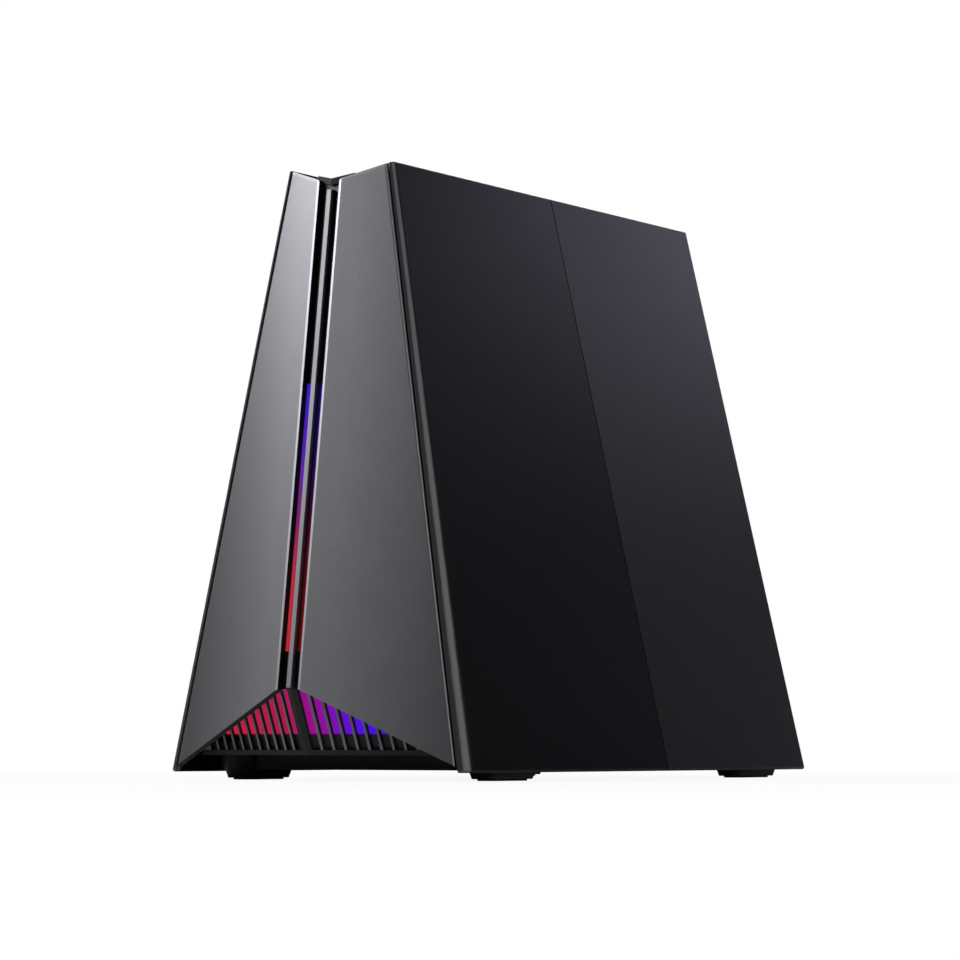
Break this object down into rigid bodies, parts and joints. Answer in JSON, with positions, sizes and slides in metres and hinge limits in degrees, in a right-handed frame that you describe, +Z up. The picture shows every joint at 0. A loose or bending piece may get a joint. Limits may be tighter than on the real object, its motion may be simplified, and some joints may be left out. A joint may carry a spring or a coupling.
{
  "type": "wireless router",
  "caption": "Tower wireless router: tapered black shells, silver prow panels, lit slot and lower grille, vented roof, recessed rear sockets and push buttons.",
  "frame": {"origin": "centre of the object's box on the surface that it stands on", "axes": "+Z up, +Y to the rear where the sockets are, +X to the right of someone facing the front"},
  "size_m": [0.1222, 0.2298, 0.2048],
  "materials": {
    "black_shell": "fine matt moulded texture",
    "black_base": "matt moulded",
    "black_panel": "matt moulded",
    "black_trim": "satin moulded",
    "grille_plastic": "satin moulded",
    "silver_panel": "bead blasted, dark silver anodised",
    "silver_trim": "satin anodised",
    "light_guide": "translucent, lit",
    "grille_light": "translucent, lit",
    "rubber": "matt",
    "board": "solder mask over laminate",
    "antenna_board": "black solder mask",
    "led": "moulded lens",
    "carrier_plastic": "moulded",
    "chip": "moulded epoxy",
    "tinned_steel": "tin plated",
    "thermal_pad": "soft silicone",
    "heat_sink": "extruded",
    "gold_contact": "gold plated",
    "jack_plastic": "moulded",
    "wan_plastic": "moulded",
    "usb_plastic": "moulded",
    "button_plastic": "satin moulded",
    "plunger_plastic": "moulded",
    "cable_jacket": "smooth",
    "ribbon": "film",
    "screw_steel": "black zinc"
  },
  "bodies": {
    "housing": {"antenna_cables": "cable_jacket", "base_screws": "screw_steel", "base_tray": "black_base", "board_carrier": "carrier_plastic", "board_screws": "screw_steel", "center_fin": "silver_trim", "dc_inlet": "jack_plastic", "dc_inlet_pin": "tinned_steel", "front_frame": "black_trim", "grille_leds": "led", "heat_sink_screws": "screw_steel", "jack_contacts": "gold_contact", "lan_jack_1": "jack_plastic", "lan_jack_2": "jack_plastic", "lan_jack_3": "jack_plastic", "lan_jack_4": "jack_plastic", "left_antennas": "antenna_board", "left_front_panel": "silver_panel", "left_front_shell": "black_shell", "left_grille_board": "board", "left_grille_diffuser": "grille_light", "left_heat_sink": "heat_sink", "left_light_guide": "light_guide", "left_rear_shell": "black_shell", "left_thermal_pad": "thermal_pad", "light_ribbon": "ribbon", "light_strip_board": "board", "light_strip_leds": "led", "lower_grille": "grille_plastic", "main_board": "board", "power_switch_body": "jack_plastic", "processor_chip": "chip", "radio_shield_cans": "tinned_steel", "rear_bezel": "black_shell", "rear_port_panel": "black_panel", "right_antennas": "antenna_board", "right_front_panel": "silver_panel", "right_front_shell": "black_shell", "right_grille_board": "board", "right_grille_diffuser": "grille_light", "right_heat_sink": "heat_sink", "right_light_guide": "light_guide", "right_rear_shell": "black_shell", "right_thermal_pads": "thermal_pad", "rubber_feet": "rubber", "small_switch_bodies": "jack_plastic", "top_vent_cover": "black_shell", "usb_insulator": "usb_plastic", "usb_riser": "jack_plastic", "usb_shell": "tinned_steel", "wan_jack": "wan_plastic"},
    "power_key": {"power_button": "button_plastic", "power_switch_plunger": "plunger_plastic"},
    "light_key": {"light_button": "button_plastic", "light_switch_plunger": "plunger_plastic"},
    "wps_key": {"wps_button": "button_plastic", "wps_switch_plunger": "plunger_plastic"},
    "reset_key": {"reset_switch_plunger": "plunger_plastic"}
  },
  "joints": [
    {"name": "power_press", "type": "slide", "parent": "housing", "child": "power_key", "axis": [0, -1, 0], "range_m": [0, 0.002], "stiffness_N_per_m": 900},
    {"name": "light_press", "type": "slide", "parent": "housing", "child": "light_key", "axis": [0, -1, 0], "range_m": [0, 0.0005], "stiffness_N_per_m": 2400},
    {"name": "wps_press", "type": "slide", "parent": "housing", "child": "wps_key", "axis": [0, -1, 0], "range_m": [0, 0.0005], "stiffness_N_per_m": 2400},
    {"name": "reset_press", "type": "slide", "parent": "housing", "child": "reset_key", "axis": [0, -1, 0], "range_m": [0, 0.0005], "stiffness_N_per_m": 2400}
  ]
}
